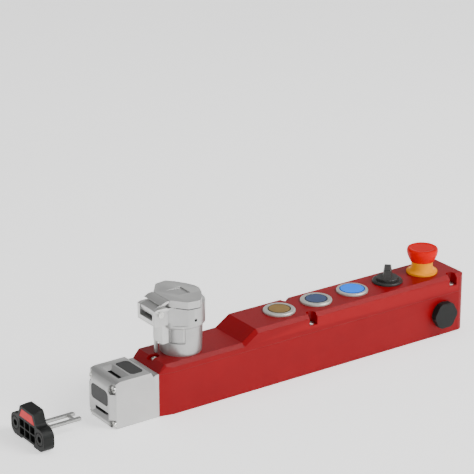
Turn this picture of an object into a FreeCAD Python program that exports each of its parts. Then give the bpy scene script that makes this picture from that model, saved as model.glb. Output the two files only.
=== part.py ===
import FreeCAD, Part
import Sketcher
import math, os, re

V = FreeCAD.Vector
DOC = FreeCAD.newDocument("SolenoidInterlockSwitch")

# Driving sizes in millimetres and degrees. X runs from the actuator to the rear
# of the housing, Z up, and the origin is the centre of the housing's underside.
SIZES = {
    # housing tray
    "housing_length": 331.1, "housing_width": 46.3, "housing_height": 38.2,
    "housing_wall": 3.5, "housing_floor": 4.0, "front_wall": 9.0,
    "front_run": 13.0, "front_cut": 3.0, "rear_corner": 8.0,
    "boss_height": 9.2, "boss_radius": 5.2, "boss_line": 5.5,
    "mount_pitch_long": 240.0, "mount_pitch_wide": 32.0, "mount_hole_radius": 2.1,
    "mount_hole_depth": 9.0, "mount_boss_radius": 4.8, "mount_boss_height": 8.0,
    "conduit_setback": 27.2, "conduit_height": 21.0, "conduit_radius": 10.0,
    # gasket and lid
    "gasket_thickness": 0.4, "gasket_inset": 0.1, "gasket_lobe": 4.4,
    "lid_step": 0.4, "lid_low_height": 7.6, "lid_high_height": 16.9,
    "slope_run": 6.2, "ramp_start": 84.3, "ramp_run": 14.3,
    "lid_chamfer": 3.2, "lid_wall": 3.2,
    "notch_radius": 4.2, "notch_floor": 6.6, "front_notch_radius": 4.0, "front_notch_floor": 4.4,
    "notch_wall": 2.0, "screw_inset": 4.5, "front_screw_setback": 9.2,
    "mid_screw_setback": 158.1, "rear_screw_setback": 15.0,
    "screw_head_radius": 3.2, "screw_head_height": 2.0, "screw_radius": 1.75,
    "screw_clearance": 0.15, "screw_depth": 8.0, "thread_clearance": 0.03,
    # head and its slots
    "head_length": 45.4, "head_width": 41.0, "head_height": 42.0,
    "head_face": 8.0, "head_cheek": 6.5, "head_floor": 6.0, "head_roof": 7.5,
    "nose_radius": 9.0, "nose_corner": 4.0, "nose_chamfer": 2.0,
    "flange_thickness": 3.2, "flange_drop": 2.9, "groove_depth": 4.4, "groove_run": 1.9,
    "groove_rise": 2.45,
    "slot_half_width": 7.8, "slot_height": 3.2, "slot_offset": 9.5,
    "funnel_half_width": 13.8, "funnel_depth": 4.2, "funnel_lower": 6.5, "funnel_upper": 1.8,
    "insert_depth": 1.3, "insert_gap": 0.1,
    "front_insert_half": 13.3, "front_insert_low": 18.3, "front_insert_top": 32.0,
    "top_insert_half": 13.6, "top_insert_front": 23.0, "top_insert_back": 36.0,
    "insert_round": 4.5, "insert_cut": 2.2,
    "head_screw_line": 17.5, "head_screw_low": 3.6, "head_screw_drop": 3.0,
    "head_pocket_radius": 4.3, "head_pocket_depth": 3.6, "head_screw_head": 3.0,
    "head_screw_thickness": 1.8, "head_screw_length": 7.0,
    # cam and lock pin
    "axis_height": 21.0, "cam_setback": 24.3, "cam_radius": 12.5, "cam_half_width": 3.0,
    "hub_radius": 6.0, "cam_shaft_radius": 3.0, "running_clearance": 0.05, "side_clearance": 0.2,
    "top_notch_start": 85.0, "top_notch_angle": 77.0, "front_notch_start": 172.0,
    "front_notch_angle": 82.0, "notch_root": 7.9, "pin_notch_root": 8.4, "pin_notch_second": 303.0,
    "carrier_inner": 8.5, "carrier_play": 0.25, "carrier_plate": 4.0, "carrier_back": 3.1,
    "carrier_reach": 10.0,
    "pin_radius": 3.5, "pin_tip": 37.6, "pin_stroke": 4.5, "pin_clearance": 0.05,
    "bush_radius": 5.5, "bush_play": 0.03,
    "spring_gap": 0.2, "spring_wire": 0.9, "spring_coils": 6.0, "spring_room": 0.2,
    "plunger_radius": 4.75, "plunger_length": 36.0, "tail_radius": 2.0, "tail_length": 8.0,
    "pin_shoulder": 22.6,
    "solenoid_plate": 2.0, "solenoid_half_width": 11.0, "solenoid_gap": 0.2,
    "coil_length": 34.6, "coil_radius": 11.0, "coil_bore": 5.0, "coil_play": 0.2,
    "solenoid_start": 24.1, "solenoid_top": 33.0,
    # inside the housing
    "switch_block_length": 38.0, "switch_block_width": 24.0, "switch_block_height": 22.0,
    "switch_block_gap": 0.3,
    "board_start": 105.5, "board_length": 192.0, "board_width": 22.0, "board_thickness": 1.6,
    "board_post": 3.0, "board_post_radius": 2.5, "board_post_inset": 5.0, "board_post_line": 8.0,
    "terminal_length": 16.0, "terminal_width": 20.0, "terminal_height": 12.0,
    # operators in the lid
    "first_operator": 138.0, "operator_pitch": 40.0, "panel_hole_radius": 11.15,
    "barrel_radius": 10.9, "barrel_depth": 15.5, "operator_nut_radius": 14.0,
    "operator_nut_height": 5.0, "nut_play": 0.05,
    "contact_length": 26.0, "contact_width": 24.0, "contact_gap": 5.4,
    "bezel_radius": 14.25, "bezel_height": 2.5, "bezel_edge": 0.9,
    "lens_radius": 10.0, "large_lens_radius": 11.3, "lens_thickness": 0.8, "lens_gap": 0.3,
    "button_travel": 1.5, "button_stem": 7.5, "stem_clearance": 0.08,
    "selector_base_radius": 13.9, "selector_base_height": 2.4, "knob_disc_radius": 10.25,
    "knob_disc_height": 2.2, "knob_height": 9.0, "knob_lean": 8.0, "knob_width": 8.4, "knob_length": 18.6, "knob_edge": 1.4,
    "knob_angle": 50.0, "shaft_radius": 5.0,
    "collar_radius": 14.0, "collar_foot": 2.0, "collar_waist": 9.8, "collar_waist_height": 7.0,
    "collar_height": 12.5, "mushroom_radius": 14.1, "mushroom_skirt_radius": 11.0,
    "mushroom_bore": 10.2, "mushroom_skirt": 11.7, "mushroom_flare": 20.9, "mushroom_dome": 3.0,
    "mushroom_dish": 0.4,
    "estop_travel": 4.0, "estop_socket": 3.5,
    # lock on the low deck
    "lock_setback": 35.6, "spigot_radius": 12.0, "lock_foot_radius": 17.8, "lock_neck_radius": 18.6,
    "lock_neck_height": 25.8, "lock_collar_radius": 20.8, "lock_collar_height": 20.0,
    "lock_bore": 15.5, "lock_nut_radius": 16.0, "lock_nut_height": 3.8,
    "barrel_lock_radius": 11.0, "barrel_lock_height": 17.9, "keyway_width": 2.4,
    "keyway_length": 12.0, "keyway_depth": 10.0,
    "panel_start": 11.3, "panel_height": 14.0, "panel_from": 111.0, "panel_sweep": 44.0,
    "panel_depth": 2.3, "flat_angle": 125.0, "flat_distance": 19.6, "flat_width": 20.0, "flat_thickness": 4.0, "flat_start": 2.5,
    "flat_height": 15.0, "pip_radius": 0.8, "pip_depth": 2.0, "pip_rise": 6.5, "pip_shift": 1.6,
    "cap_gap": 0.4, "cap_height": 6.3, "cap_hinge_edge": 19.5,
    "cap_hinge_half": 11.3, "cap_wing_back": 8.5, "cap_wing_half_back": 25.3, "cap_wing_front": 2.2,
    "cap_wing_half": 26.8, "cap_taper": 8.0, "cap_taper_half": 20.5, "cap_nose": 13.6,
    "cap_nose_half": 11.5, "cap_tip": 17.0, "cap_tip_half": 3.0, "cap_corner": 3.0,
    "recess_back": 9.4, "recess_front": 5.2, "recess_half": 7.5, "recess_depth": 1.2,
    "hinge_reach": 28.5, "hinge_drop": 3.7, "hinge_pin_radius": 1.5, "hinge_head_radius": 2.6,
    "lug_outer": 13.1, "lug_inner": 9.5, "lug_front": 5.7, "lug_depth": 14.5, "lug_rise": 1.0,
    "lug_floor": 5.0,
    "knuckle_radius": 4.0, "knuckle_play": 0.3,
    "rib_half_width": 7.0, "rib_reach": 23.0, "rib_start": 11.8, "rib_height": 22.0,
    # conduit plugs
    "plug_across_flats": 23.6, "plug_hex_height": 5.0, "plug_flange_radius": 11.8,
    "plug_corner_radius": 12.7,
    "plug_flange_height": 1.0, "plug_seal_radius": 11.5, "plug_seal_height": 0.8, "plug_play": 0.1,
    # actuator
    "actuator_gap": 59.0, "actuator_thickness": 10.0, "actuator_half_width": 26.7,
    "actuator_bottom": 0.5, "actuator_shoulder": 20.0, "actuator_round": 7.0,
    "crown_round": 3.0, "crown_blend": 3.0, "crown_half_top": 10.4, "crown_half_foot": 15.0, "crown_front": 29.5, "crown_back": 31.5,
    "actuator_hole_radius": 2.65, "actuator_hole_line": 19.6, "actuator_hole_height": 11.0,
    "actuator_recess": 1.5, "actuator_recess_half": 10.0,
    "badge_half_top": 8.4, "badge_half_foot": 12.4, "badge_low": 20.0, "badge_top": 27.4,
    "cell_width": 7.4, "cell_height": 6.4, "cell_pitch_wide": 8.6, "cell_pitch_high": 7.6,
    "cell_depth": 3.6, "ring_radius": 5.4, "ring_width": 0.7, "ring_recess": 0.8,
    "tongue_half_width": 7.45, "tongue_thickness": 2.4, "tongue_bar": 4.0, "tongue_length": 37.5,
    "tongue_root": 5.5, "tongue_play": 0.05, "window_start": 9.0, "window_length": 21.0,
    "crossbar": 2.5, "tongue_tip_cut": 1.2,
}

LID_BASE = "(housing_height + gasket_thickness)"
LOW_TOP = "(housing_height + gasket_thickness + lid_low_height)"
HIGH_TOP = "(housing_height + gasket_thickness + lid_high_height)"
FRONT = "(-housing_length / 2)"
REAR = "(housing_length / 2)"
SIDE = "(housing_width / 2)"
NOSE = "(-housing_length / 2 - head_length)"
CAM = "(-housing_length / 2 - head_length + cam_setback)"
LOCK = "(-housing_length / 2 + lock_setback)"
CONDUIT = "(housing_length / 2 - conduit_setback)"
FRONT_SCREW = "(-housing_length / 2 + front_screw_setback)"
MID_SCREW = "(-housing_length / 2 + mid_screw_setback)"
REAR_SCREW = "(housing_length / 2 - rear_screw_setback)"
SCREW_LINE = "(housing_width / 2 - screw_inset)"
BOSS_LINE = "(housing_width / 2 - boss_line)"
SLOT = "(axis_height - slot_offset)"
HIGH_SCREW = "(housing_height - head_screw_drop)"
BOARD_TOP = "(housing_floor + board_post + board_thickness)"
ACTUATOR = "(-housing_length / 2 - head_length - actuator_gap)"
LOCK_FLOOR = "(%s + lock_neck_height)" % LOW_TOP
LOCK_TOP = "(%s + lock_neck_height + lock_collar_height)" % LOW_TOP


def fill_sheet():
    sheet = DOC.addObject("Spreadsheet::Sheet", "Dims")
    for row, (alias, value) in enumerate(SIZES.items(), 1):
        sheet.set("A%d" % row, alias)
        sheet.set("B%d" % row, str(value))
        sheet.setAlias("B%d" % row, alias)
    DOC.recompute()
    return sheet


SHEET = fill_sheet()
PARTS = []


def in_sheet(formula):
    """Point each size that a formula names at its cell."""
    return re.sub(r"[a-z][a-z_]+", lambda word: "Dims." + word.group()
                  if word.group() in SIZES else word.group(), str(formula))


def number(formula):
    return float(SHEET.evalExpression(in_sheet(formula)))


def tie(thing, name, formula):
    thing.setExpression(name, in_sheet(formula))


def place(thing, x="0", y="0", z="0", rotation=FreeCAD.Rotation()):
    thing.Placement = FreeCAD.Placement(V(number(x), number(y), number(z)), rotation)
    for letter, formula in zip("xyz", (x, y, z)):
        tie(thing, "Placement.Base." + letter, formula)
    return thing


def part(thing, label):
    """Name one finished piece and keep it for the files."""
    thing.Label = label
    DOC.recompute()
    PARTS.append(thing)
    return thing


def new_body(x="0", y="0", z="0", rotation=FreeCAD.Rotation()):
    return place(DOC.addObject("PartDesign::Body", "Body"), x, y, z, rotation)


def sketch_on(body, role, offset="0"):
    plane = [item for item in body.Origin.OriginFeatures if item.Role == role][0]
    sketch = body.newObject("Sketcher::SketchObject", "Sketch")
    sketch.AttachmentSupport = (plane, [""])
    sketch.MapMode = "FlatFace"
    tie(sketch, "AttachmentOffset.Base.z", offset)
    return sketch


def fix_point(sketch, geometry, position, x, y):
    """Hold one sketch point at two formulas from the sketch's origin."""
    for kind, formula in (("DistanceX", x), ("DistanceY", y)):
        index = sketch.addConstraint(
            Sketcher.Constraint(kind, -1, 1, geometry, position, number(formula)))
        tie(sketch, "Constraints[%d]" % index, formula)


def polygon(sketch, points):
    corners = [V(number(x), number(y), 0) for x, y in points]
    first = sketch.GeometryCount
    count = len(points)
    for index in range(count):
        sketch.addGeometry(Part.LineSegment(corners[index], corners[(index + 1) % count]), False)
    for index in range(count):
        sketch.addConstraint(Sketcher.Constraint(
            "Coincident", first + index, 2, first + (index + 1) % count, 1))
    for index, (x, y) in enumerate(points):
        fix_point(sketch, first + index, 1, x, y)
    return sketch


def rectangle(sketch, left, right, low, high):
    return polygon(sketch, [(left, low), (right, low), (right, high), (left, high)])


def circle(sketch, x, y, radius):
    geometry = sketch.addGeometry(
        Part.Circle(V(number(x), number(y), 0), V(0, 0, 1), number(radius)), False)
    fix_point(sketch, geometry, 3, x, y)
    index = sketch.addConstraint(Sketcher.Constraint("Radius", geometry, number(radius)))
    tie(sketch, "Constraints[%d]" % index, radius)
    return sketch


def feature(body, kind, sketch, length, both, back):
    thing = body.newObject("PartDesign::" + kind, kind)
    thing.Profile = sketch
    thing.SideType = "Symmetric" if both else "One side"
    thing.Reversed = back
    tie(thing, "Length", length)
    DOC.recompute()
    return thing


def pad(body, sketch, length, both=False, back=False):
    return feature(body, "Pad", sketch, length, both, back)


def pocket(body, sketch, length, both=False, back=False):
    before = body.Shape.Volume
    thing = feature(body, "Pocket", sketch, length, both, back)
    if not body.Shape.Volume < before - 1e-6:
        raise RuntimeError("a pocket in %s cuts nothing" % body.Label)
    return thing


def edge_names(shape, test):
    names = ["Edge%d" % index for index, edge in enumerate(shape.Edges, 1)
             if len(edge.Vertexes) == 2 and test(edge.Vertexes[0].Point, edge.Vertexes[1].Point)]
    if not names:
        raise RuntimeError("no edge to dress")
    return names


def dress(body, kind, size, test):
    """Fillet or chamfer the straight edges whose two ends pass a test."""
    base = body.Tip
    thing = body.newObject("PartDesign::" + kind, kind)
    thing.Base = (base, edge_names(base.Shape, test))
    tie(thing, "Radius" if kind == "Fillet" else "Size", size)
    DOC.recompute()
    return thing


def near(a, b):
    return abs(a - b) < 1e-4


def upright(p, q):
    return near(p.x, q.x) and near(p.y, q.y)


def across(p, q):
    return near(p.x, q.x) and near(p.z, q.z)


def along(p, q):
    return near(p.y, q.y) and near(p.z, q.z)


def turned(label, profile, x="0", y="0", z="0", upright_axis=True, rotation=FreeCAD.Rotation()):
    """Revolve a profile of (radius, height) points, or of (length, radius) points
    when the axis lies along X."""
    body = new_body(x, y, z, rotation)
    sketch = polygon(sketch_on(body, "XZ_Plane"), profile)
    thing = body.newObject("PartDesign::Revolution", "Revolution")
    thing.Profile = sketch
    thing.ReferenceAxis = (sketch, ["V_Axis" if upright_axis else "H_Axis"])
    thing.Angle = 360
    body.Label = label
    DOC.recompute()
    return body


def box(left, right, near_side, far_side, low, high):
    solid = place(DOC.addObject("Part::Box", "Box"), left, near_side, low)
    for name, start, end in (("Length", left, right), ("Width", near_side, far_side),
                             ("Height", low, high)):
        tie(solid, name, "%s - (%s)" % (end, start))
    return solid


AIM = {"X": FreeCAD.Rotation(V(0, 1, 0), 90), "Y": FreeCAD.Rotation(V(1, 0, 0), -90),
       "Z": FreeCAD.Rotation()}


def cylinder(radius, length, x, y, z, aim="Z"):
    solid = place(DOC.addObject("Part::Cylinder", "Cylinder"), x, y, z, AIM[aim])
    tie(solid, "Radius", radius)
    tie(solid, "Height", length)
    return solid


def fuse(pieces):
    if len(pieces) == 1:
        return pieces[0]
    joined = DOC.addObject("Part::MultiFuse", "Fusion")
    joined.Shapes = pieces
    return joined


def cut(base, tools):
    result = DOC.addObject("Part::Cut", "Cut")
    result.Base = base
    result.Tool = fuse(tools)
    DOC.recompute()
    return result


def group(pieces):
    together = DOC.addObject("Part::Compound", "Group")
    together.Links = pieces
    return together


def lid_screw_places():
    """Two screws at mid length, two at the rear and one at the front."""
    pairs = [(x, sign) for x in (MID_SCREW, REAR_SCREW) for sign in ("", "-")]
    return [(x, "%s%s" % (sign, SCREW_LINE), "%s%s" % (sign, BOSS_LINE)) for x, sign in pairs] + \
           [(FRONT_SCREW, "0", "0")]


def plan_slab(base, height, inset="0"):
    """The plan that the tray, gasket and lid share: tapered front corners, round rear ones."""
    body = new_body()
    side, nose = "(%s - %s)" % (SIDE, inset), "(%s + %s)" % (FRONT, inset)
    pad(body, polygon(sketch_on(body, "XY_Plane", base), [
        (nose, "-%s + front_cut" % side), (nose + " + front_run", "-" + side),
        (REAR + " - " + inset, "-" + side), (REAR + " - " + inset, side),
        (nose + " + front_run", side), (nose, side + " - front_cut")]), height)
    dress(body, "Fillet", "rear_corner - " + inset, lambda p, q: upright(p, q) and p.x > 0)
    return body


def housing():
    body = plan_slab("0", "housing_height")
    inner = "(housing_width / 2 - housing_wall)"
    pocket(body, rectangle(sketch_on(body, "XY_Plane", "housing_height"), FRONT + " + front_wall",
                           REAR + " - housing_wall", "-" + inner, inner),
           "housing_height - housing_floor")
    bosses = sketch_on(body, "XY_Plane", "housing_height")
    holes = []
    for x, y, boss_y in lid_screw_places():
        circle(bosses, x, boss_y, "boss_radius")
        holes.append((x, y))
    pad(body, bosses, "boss_height", back=True)
    floor = sketch_on(body, "XY_Plane", "housing_floor")
    mounts = [("%smount_pitch_long / 2" % a, "%smount_pitch_wide / 2" % b)
              for a in ("-", "") for b in ("-", "")]
    for x, y in mounts:
        circle(floor, x, y, "mount_boss_radius")
    pad(body, floor, "mount_boss_height")
    posts = sketch_on(body, "XY_Plane", "housing_floor")
    for x in ("board_post_inset", "board_length / 2", "board_length - board_post_inset"):
        for sign in ("-", ""):
            circle(posts, FRONT + " + board_start + " + x, sign + "board_post_line",
                   "board_post_radius")
    pad(body, posts, "board_post")
    threads = sketch_on(body, "XY_Plane", "housing_height")
    for x, y in holes:
        circle(threads, x, y, "screw_radius + thread_clearance")
    pocket(body, threads, "screw_depth")
    below = sketch_on(body, "XY_Plane")
    for x, y in mounts:
        circle(below, x, y, "mount_hole_radius")
    pocket(body, below, "mount_hole_depth", back=True)
    pocket(body, circle(sketch_on(body, "XZ_Plane"), CONDUIT, "conduit_height", "conduit_radius"),
           "housing_width + 2", both=True)
    pocket(body, circle(sketch_on(body, "YZ_Plane", FRONT), "0", "axis_height",
                        "bush_radius + bush_play"), "2 * front_wall + 2", both=True)
    fixings = sketch_on(body, "YZ_Plane", FRONT)
    for y, z in head_screw_places():
        circle(fixings, y, z, "screw_radius + thread_clearance")
    pocket(body, fixings, "2 * head_screw_length + 0.6", both=True)
    return part(body, "housing")


def lid_gasket():
    body = plan_slab("housing_height", "gasket_thickness", "gasket_inset")
    inner = "(housing_width / 2 - lid_wall)"
    pocket(body, rectangle(sketch_on(body, "XY_Plane", "housing_height"), FRONT + " + front_wall",
                           REAR + " - lid_wall", "-" + inner, inner), "4 * gasket_thickness", both=True)
    lobes = sketch_on(body, "XY_Plane", "housing_height")
    for x, _, boss_y in lid_screw_places():
        circle(lobes, x, boss_y, "gasket_lobe")
    pad(body, lobes, "gasket_thickness")
    holes = sketch_on(body, "XY_Plane", "housing_height")
    for x, y, _ in lid_screw_places():
        circle(holes, x, y, "screw_radius + screw_clearance")
    pocket(body, holes, "4 * gasket_thickness", both=True)
    return part(body, "lid_gasket")


def operator_place(index):
    return "(-housing_length / 2 + first_operator + %d * operator_pitch)" % index


def lid():
    """A folded-looking cover: low deck, ramp and high deck under one chamfer,
    trimmed to the housing's plan and hollow underneath."""
    form = new_body()
    skirt = "2 * (%s + lid_step) - %s" % (LID_BASE, LOW_TOP)
    ramp = FRONT + " + ramp_start"
    pad(form, polygon(sketch_on(form, "XZ_Plane"), [
        (FRONT + " - slope_run", skirt), (FRONT + " + slope_run", LOW_TOP), (ramp, LOW_TOP),
        (ramp + " + ramp_run", HIGH_TOP), (REAR, HIGH_TOP), (REAR, skirt)]),
        "housing_width", both=True)
    rear, top = number(REAR), number(HIGH_TOP)
    dress(form, "Chamfer", "lid_chamfer", lambda p, q:
          (near(p.y, q.y) and not (near(p.x, q.x) or near(p.z, q.z) and p.z < number(LID_BASE)))
          or (across(p, q) and near(p.x, rear) and near(p.z, top)))
    outline = plan_slab(LID_BASE, "lid_high_height + 1")
    shape = DOC.addObject("Part::Common", "LidShape")
    shape.Base, shape.Tool = form, outline

    hollow = new_body()
    below = LID_BASE + " - 1"
    lean = " + lid_wall * tan(atan((lid_high_height - lid_low_height) / ramp_run) / 2)"
    pad(hollow, polygon(sketch_on(hollow, "XZ_Plane"), [
        (FRONT + " + front_wall", below), (FRONT + " + front_wall", LOW_TOP + " - lid_wall"),
        (ramp + lean, LOW_TOP + " - lid_wall"), (ramp + " + ramp_run" + lean, HIGH_TOP + " - lid_wall"),
        (REAR + " - lid_wall", HIGH_TOP + " - lid_wall"), (REAR + " - lid_wall", below)]),
        "housing_width - 2 * lid_wall", both=True)
    posts = []
    tools = []
    for x, y, _ in lid_screw_places():
        front = x == FRONT_SCREW
        radius = "front_notch_radius" if front else "notch_radius"
        floor = LID_BASE + (" + front_notch_floor" if front else " + notch_floor")
        posts.append(cylinder(radius + " + notch_wall", "lid_high_height + 2", x, y, LID_BASE + " - 1.5"))
        tools.append(cylinder(radius, "lid_high_height + 2", x, y, floor))
        tools.append(cylinder("screw_radius + screw_clearance", "lid_high_height", x, y, LID_BASE + " - 1"))
        if front:
            tools.append(box(FRONT + " - 5", x, "-" + radius, radius, floor, HIGH_TOP))
        else:
            ends = ("-%s - 2" % SIDE, y) if y.startswith("-") else (y, SIDE + " + 2")
            tools.append(box("%s - %s" % (x, radius), "%s + %s" % (x, radius), ends[0], ends[1],
                             floor, HIGH_TOP + " + 1"))
    for index in range(5):
        tools.append(cylinder("panel_hole_radius", "lid_wall + 4", operator_place(index), "0",
                              HIGH_TOP + " - lid_wall - 2"))
    tools.append(cylinder("spigot_radius + screw_clearance", "lid_wall + 4", LOCK, "0",
                          LOW_TOP + " - lid_wall - 2"))
    return part(cut(shape, [cut(hollow, posts)] + tools), "lid")


def lid_screws():
    screws = []
    for x, y, _ in lid_screw_places():
        floor = LID_BASE + (" + front_notch_floor" if x == FRONT_SCREW else " + notch_floor")
        head = cylinder("screw_head_radius", "screw_head_height", x, y, floor)
        shank = cylinder("screw_radius", "%s - housing_height + screw_depth - 1" % floor, x, y,
                         "housing_height - screw_depth + 1")
        screws.append(fuse([head, shank]))
    return part(group(screws), "lid_screws")


def head_screw_places():
    return [(sign + "head_screw_line", z) for z in ("head_screw_low", HIGH_SCREW)
            for sign in ("-", "")]


def cut_funnel(body, role, faces):
    """Cut a flared mouth between two rectangles on parallel planes."""
    sections = []
    for offset, left, right, low, high in faces:
        sections.append(rectangle(sketch_on(body, role, offset), left, right, low, high))
    thing = body.newObject("PartDesign::SubtractiveLoft", "Funnel")
    thing.Profile = sections[0]
    thing.Sections = sections[1:]
    thing.Ruled = True
    before = body.Shape.Volume
    DOC.recompute()
    if not body.Shape.Volume < before - 1e-6:
        raise RuntimeError("a funnel cuts nothing")


def head_block():
    body = new_body()
    groove_back = FRONT + " - flange_thickness"
    flange_top = "head_height - flange_drop"
    pad(body, polygon(sketch_on(body, "XZ_Plane"), [
        (NOSE, "0"), (FRONT, "0"), (FRONT, flange_top), (groove_back, flange_top),
        (groove_back + " - groove_run", "head_height - groove_depth"),
        (groove_back + " - groove_run - groove_rise", "head_height"), (NOSE, "head_height")]),
        "head_width", both=True)
    nose, top = number(NOSE), number("head_height")
    dress(body, "Fillet", "nose_radius", lambda p, q: across(p, q) and near(p.x, nose) and near(p.z, top))
    dress(body, "Chamfer", "nose_chamfer", lambda p, q: across(p, q) and near(p.x, nose) and near(p.z, 0))
    corners = sketch_on(body, "XY_Plane")
    for sign in ("", "-"):
        polygon(corners, [(NOSE + " - 1", sign + "(head_width / 2 - nose_corner - 1)"),
                          (NOSE + " + nose_corner + 1", sign + "(head_width / 2 + 1)"),
                          (NOSE + " - 1", sign + "(head_width / 2 + 1)")])
    pocket(body, corners, "2 * head_height + 2", both=True)
    half = "(head_width / 2 - head_cheek)"
    pocket(body, rectangle(sketch_on(body, "YZ_Plane", FRONT), "-" + half, half,
                           "head_floor", "head_height - head_roof"),
           "2 * (head_length - head_face)", both=True)
    wide, slim = "funnel_half_width", "slot_half_width"
    rise = "slot_height / 2"
    pocket(body, rectangle(sketch_on(body, "YZ_Plane", NOSE), "-" + slim, slim,
                           SLOT + " - " + rise, SLOT + " + " + rise), "2 * head_face + 2", both=True)
    cut_funnel(body, "YZ_Plane", [
        (NOSE + " - 0.001", "-" + wide, wide, SLOT + " - funnel_lower", SLOT + " + funnel_upper"),
        (NOSE + " + funnel_depth", "-" + slim, slim, SLOT + " - " + rise, SLOT + " + " + rise)])
    mouth = CAM + " - slot_offset"
    pocket(body, rectangle(sketch_on(body, "XY_Plane", "head_height"), mouth + " - " + rise,
                           mouth + " + " + rise, "-" + slim, slim), "2 * head_roof + 2", both=True)
    cut_funnel(body, "XY_Plane", [
        ("head_height + 0.001", mouth + " - funnel_lower + 2", mouth + " + funnel_lower", "-" + wide, wide),
        ("head_height - funnel_depth", mouth + " - " + rise, mouth + " + " + rise, "-" + slim, slim)])
    pockets = sketch_on(body, "YZ_Plane", NOSE)
    shanks = sketch_on(body, "YZ_Plane", NOSE)
    for y, z in head_screw_places():
        circle(pockets, y, z, "head_pocket_radius")
        circle(shanks, y, z, "screw_radius + screw_clearance")
    pocket(body, pockets, "2 * head_pocket_depth", both=True)
    corners = sketch_on(body, "YZ_Plane", NOSE)
    for sign in ("-", ""):
        outer = "%s(head_width / 2 + 1)" % sign
        rectangle(corners, sign + "head_screw_line", outer, "-1", "head_screw_low + head_pocket_radius")
        rectangle(corners, sign + "head_screw_line", outer, HIGH_SCREW + " - head_pocket_radius",
                  "head_height + 1")
    pocket(body, corners, "2 * head_pocket_depth", both=True)
    pocket(body, shanks, "2 * head_length + 2", both=True)
    return part(cut(body, [front_plate("0"), top_plate("0")]), "head_block")


def front_plate(gap):
    """A plate for the front face, smaller all round by the gap: two corners rounded, two cut."""
    plate = new_body()
    pad(plate, rectangle(sketch_on(plate, "YZ_Plane", NOSE), "-front_insert_half + " + gap,
                         "front_insert_half - " + gap, "front_insert_low + " + gap,
                         "front_insert_top - " + gap), "insert_depth - " + gap)
    low = number("front_insert_low + " + gap)
    dress(plate, "Fillet", "insert_round", lambda p, q: along(p, q) and p.z > low + 1)
    dress(plate, "Chamfer", "insert_cut", lambda p, q: along(p, q) and near(p.z, low))
    return plate


def top_plate(gap):
    """The same kind of plate for the top face."""
    plate = new_body()
    pad(plate, rectangle(sketch_on(plate, "XY_Plane", "head_height"),
                         NOSE + " + top_insert_front + " + gap, NOSE + " + top_insert_back - " + gap,
                         "-top_insert_half + " + gap, "top_insert_half - " + gap),
        "insert_depth - " + gap, back=True)
    start = number(NOSE + " + top_insert_front + " + gap)
    dress(plate, "Fillet", "insert_round", lambda p, q: upright(p, q) and p.x > start + 1)
    dress(plate, "Chamfer", "insert_cut", lambda p, q: upright(p, q) and near(p.x, start))
    return plate


def inserts():
    part(front_plate("insert_gap"), "front_insert")
    part(top_plate("insert_gap"), "top_insert")


def head_screws():
    screws = []
    for y, z in head_screw_places():
        seat = NOSE + " + head_pocket_depth"
        head = cylinder("head_screw_head", "head_screw_thickness", seat + " - head_screw_thickness",
                        y, z, "X")
        shank = cylinder("screw_radius", "head_length - head_pocket_depth + head_screw_length",
                         seat, y, z, "X")
        screws.append(fuse([head, shank]))
    return part(group(screws), "head_screws")


def sector(start, sweep, root):
    """A wedge of the cam's rim, measured from +X towards +Z, to cut a gate."""
    turn = FreeCAD.Rotation(V(1, 0, 0), 90).multiply(FreeCAD.Rotation(V(0, 0, 1), number(start)))
    wedge = place(DOC.addObject("Part::Cylinder", "Wedge"), CAM, "cam_half_width + 1", "axis_height", turn)
    tie(wedge, "Radius", "cam_radius + 1")
    tie(wedge, "Height", "2 * cam_half_width + 2")
    tie(wedge, "Angle", sweep)
    core = cylinder(root, "2 * cam_half_width + 4", CAM, "-cam_half_width - 2", "axis_height", "Y")
    return cut(wedge, [core])


def pin_gate(angle):
    """A flat-bottomed gate of the lock pin's width, at an angle round the cam."""
    width = "(pin_radius + running_clearance + 0.2)"
    gate = DOC.addObject("Part::Box", "Gate")
    tie(gate, "Length", "cam_radius")
    tie(gate, "Width", "2 * cam_half_width + 2")
    tie(gate, "Height", "2 * " + width)
    turn = math.radians(number(angle))
    start = V(number("pin_notch_root"), 0, -number(width))
    spin = FreeCAD.Rotation(V(0, 1, 0), -math.degrees(turn))
    corner = spin.multVec(start)
    gate.Placement = FreeCAD.Placement(
        V(number(CAM) + corner.x, -number("cam_half_width") - 1, number("axis_height") + corner.z), spin)
    return gate


def cam():
    disc = cylinder("cam_radius", "2 * cam_half_width", CAM, "-cam_half_width", "axis_height", "Y")
    hub = cylinder("hub_radius", "2 * (carrier_inner - side_clearance)", CAM,
                   "-carrier_inner + side_clearance", "axis_height", "Y")
    bore = cylinder("cam_shaft_radius", "4 * carrier_inner", CAM, "-2 * carrier_inner", "axis_height", "Y")
    part(cut(fuse([disc, hub]), [sector("top_notch_start", "top_notch_angle", "notch_root"),
                                 sector("front_notch_start", "front_notch_angle", "notch_root"),
                                 pin_gate("0"), pin_gate("pin_notch_second"), bore]), "cam_wheel")
    reach = "(head_width / 2 - head_cheek - carrier_play - side_clearance)"
    part(cylinder("cam_shaft_radius", "2 * " + reach, CAM, "-" + reach, "axis_height", "Y"), "cam_shaft")


def cam_carrier():
    """Two cheeks for the cam's shaft on a back plate that the lock pin passes."""
    outer = "(head_width / 2 - head_cheek - carrier_play)"
    low, high = "head_floor + carrier_play", "head_height - head_roof - carrier_play"
    back = FRONT + " - carrier_back"
    plate = box(back + " - carrier_plate", back, "-" + outer, outer, low, high)
    cheeks = []
    for start, end in (("carrier_inner", outer), ("-" + outer, "-carrier_inner")):
        cheeks.append(box(CAM + " - carrier_reach", back, start, end, low, high))
    passage = cylinder("pin_radius + pin_clearance", "carrier_plate + 4",
                       back + " - carrier_plate - 2", "0", "axis_height", "X")
    bearing = cylinder("cam_shaft_radius + running_clearance", "head_width", CAM, "-head_width / 2",
                       "axis_height", "Y")
    return part(cut(fuse([plate] + cheeks), [passage, bearing]), "cam_carrier")


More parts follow.
